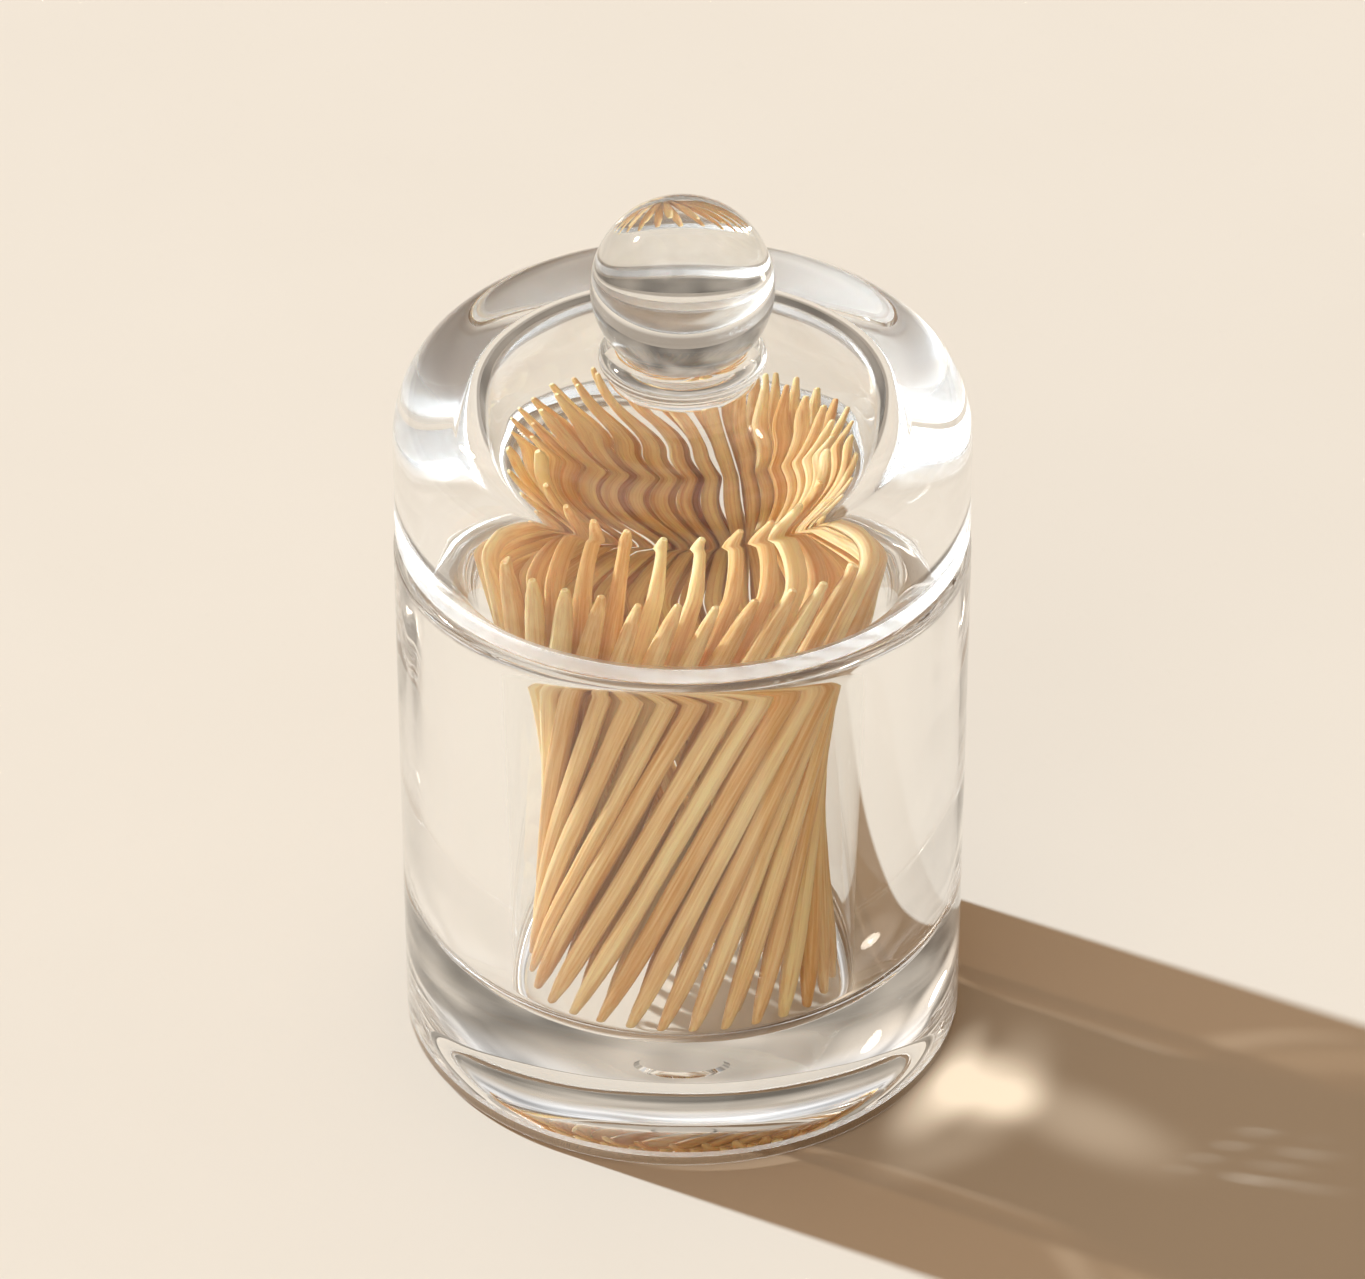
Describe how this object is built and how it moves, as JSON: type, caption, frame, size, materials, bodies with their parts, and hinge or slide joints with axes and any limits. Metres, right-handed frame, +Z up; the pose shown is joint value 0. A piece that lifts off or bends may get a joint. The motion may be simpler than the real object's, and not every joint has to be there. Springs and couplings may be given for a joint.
{
  "type": "toothpick holder",
  "caption": "Round heavy glass jar with a hollow drop-on glass lid and ball knob, holding a twisted bundle of wooden toothpicks.",
  "frame": {"origin": "middle of the foot, on the surface the jar stands on", "axes": "+Z up the jar's axis, towards the knob"},
  "size_m": [0.064, 0.064, 0.1063],
  "materials": {
    "jar_glass": "clear polished",
    "lid_glass": "clear polished",
    "toothpick_wood": "bare birch, fine straight grain"
  },
  "bodies": {
    "jar_body": {"jar": "jar_glass", "toothpick_01": "toothpick_wood", "toothpick_02": "toothpick_wood", "toothpick_03": "toothpick_wood", "toothpick_04": "toothpick_wood", "toothpick_05": "toothpick_wood", "toothpick_06": "toothpick_wood", "toothpick_07": "toothpick_wood", "toothpick_08": "toothpick_wood", "toothpick_09": "toothpick_wood", "toothpick_10": "toothpick_wood", "toothpick_11": "toothpick_wood", "toothpick_12": "toothpick_wood", "toothpick_13": "toothpick_wood", "toothpick_14": "toothpick_wood", "toothpick_15": "toothpick_wood", "toothpick_16": "toothpick_wood", "toothpick_17": "toothpick_wood", "toothpick_18": "toothpick_wood", "toothpick_19": "toothpick_wood", "toothpick_20": "toothpick_wood", "toothpick_21": "toothpick_wood", "toothpick_22": "toothpick_wood", "toothpick_23": "toothpick_wood", "toothpick_24": "toothpick_wood", "toothpick_25": "toothpick_wood", "toothpick_26": "toothpick_wood", "toothpick_27": "toothpick_wood", "toothpick_28": "toothpick_wood", "toothpick_29": "toothpick_wood", "toothpick_30": "toothpick_wood", "toothpick_31": "toothpick_wood", "toothpick_32": "toothpick_wood", "toothpick_33": "toothpick_wood", "toothpick_34": "toothpick_wood", "toothpick_35": "toothpick_wood", "toothpick_36": "toothpick_wood", "toothpick_37": "toothpick_wood", "toothpick_38": "toothpick_wood", "toothpick_39": "toothpick_wood", "toothpick_40": "toothpick_wood", "toothpick_41": "toothpick_wood", "toothpick_42": "toothpick_wood", "toothpick_43": "toothpick_wood", "toothpick_44": "toothpick_wood", "toothpick_45": "toothpick_wood", "toothpick_46": "toothpick_wood", "toothpick_47": "toothpick_wood", "toothpick_48": "toothpick_wood", "toothpick_49": "toothpick_wood", "toothpick_50": "toothpick_wood", "toothpick_51": "toothpick_wood", "toothpick_52": "toothpick_wood", "toothpick_53": "toothpick_wood", "toothpick_54": "toothpick_wood", "toothpick_55": "toothpick_wood", "toothpick_56": "toothpick_wood", "toothpick_57": "toothpick_wood"},
    "lid_body": {"lid": "lid_glass", "lid_knob": "lid_glass"}
  },
  "joints": [
    {"name": "lid_lift", "type": "slide", "parent": "jar_body", "child": "lid_body", "axis": [0, 0, 1], "range_m": [0, 0.06]}
  ]
}
